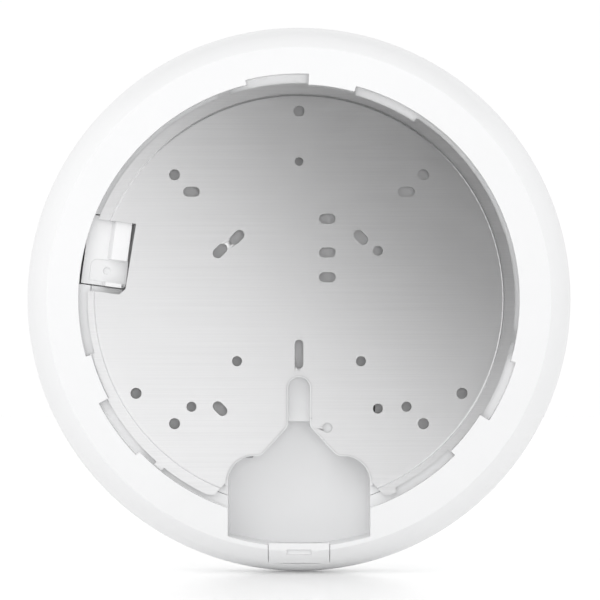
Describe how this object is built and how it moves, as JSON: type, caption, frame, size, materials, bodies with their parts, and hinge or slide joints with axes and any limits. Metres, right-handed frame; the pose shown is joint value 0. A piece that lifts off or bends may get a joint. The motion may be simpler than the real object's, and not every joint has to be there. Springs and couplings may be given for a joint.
{
  "type": "ceiling access point",
  "caption": "Round white ceiling wireless access point seen with its brushed steel ceiling plate, twist-lock mount, cable bay, release latch and cable-exit plug.",
  "frame": {"origin": "middle of the mounting plate's ceiling face, on the disc's axis", "axes": "-Y towards the ceiling, +Y towards the room, +Z across the face away from the cable bay, +X to the right seen from the ceiling side"},
  "size_m": [0.22, 0.048, 0.22],
  "materials": {
    "stainless_plate": "brushed in straight horizontal lines",
    "white_moulding": "satin white, very fine moulded grain",
    "white_cover": "smooth satin white",
    "ring_diffuser": "milky translucent",
    "cast_aluminium": "as cast, matt",
    "antenna_aluminium": "plain sheet",
    "tinned_steel": "bright tinned",
    "spring_steel": "spring wire",
    "steel_pin": "ground",
    "zinc_screw": "zinc plated",
    "brass_standoff": "turned",
    "gold_contact": "plated",
    "circuit_board": "solder mask",
    "thermal_pad": "soft silicone",
    "black_plastic": "moulded",
    "grey_plastic": "moulded",
    "capacitor_can": "drawn can",
    "led_lens": "clear lens"
  },
  "bodies": {
    "plate": {"mounting_plate": "stainless_plate"},
    "access_point": {"rear_casing": "white_moulding", "port_bay": "white_moulding", "latch_tray": "white_moulding", "latch_pin": "steel_pin", "heat_sink": "cast_aluminium", "main_board": "circuit_board", "processor_shield": "tinned_steel", "radio_shield_low": "tinned_steel", "radio_shield_high": "tinned_steel", "processor_thermal_pad": "thermal_pad", "radio_thermal_pad_low": "thermal_pad", "radio_thermal_pad_high": "thermal_pad", "jack_shell": "tinned_steel", "jack_insert": "black_plastic", "jack_contacts": "gold_contact", "reset_switch": "black_plastic", "lan_transformer": "black_plastic", "power_transformer": "black_plastic", "power_capacitors": "capacitor_can", "reflector_standoffs": "brass_standoff", "antenna_reflector": "antenna_aluminium", "antenna_1": "tinned_steel", "antenna_2": "tinned_steel", "antenna_3": "tinned_steel", "antenna_4": "tinned_steel", "led_standoffs": "brass_standoff", "led_board": "circuit_board", "status_leds": "led_lens", "light_ring": "ring_diffuser", "centre_cap": "white_cover", "front_cover": "white_cover", "base_screws": "zinc_screw", "board_screws": "zinc_screw", "reflector_screws": "zinc_screw", "led_board_screws": "zinc_screw"},
    "latch": {"release_latch": "white_moulding", "latch_spring": "spring_steel"},
    "plug": {"cable_exit_plug": "white_moulding"},
    "reset": {"reset_button": "grey_plastic"}
  },
  "joints": [
    {"name": "bayonet_twist", "type": "hinge", "parent": "plate", "child": "access_point", "pos_m": [0, 0, 0], "axis": [0, 1, 0], "range_deg": [0, 16]},
    {"name": "latch_press", "type": "hinge", "parent": "access_point", "child": "latch", "pos_m": [-0.08409, 0.0102, 0.02015], "axis": [0.1305, 0, 0.9914], "range_deg": [0, 6], "stiffness_Nm_per_rad": 0.3, "springref_deg": -11.46},
    {"name": "plug_pull", "type": "slide", "parent": "access_point", "child": "plug", "axis": [0, -1, 0], "range_m": [0, 0.014]},
    {"name": "reset_press", "type": "slide", "parent": "access_point", "child": "reset", "axis": [0, 0, 1], "range_m": [0, 0.0008], "stiffness_N_per_m": 400, "springref_m": -0.0005}
  ]
}
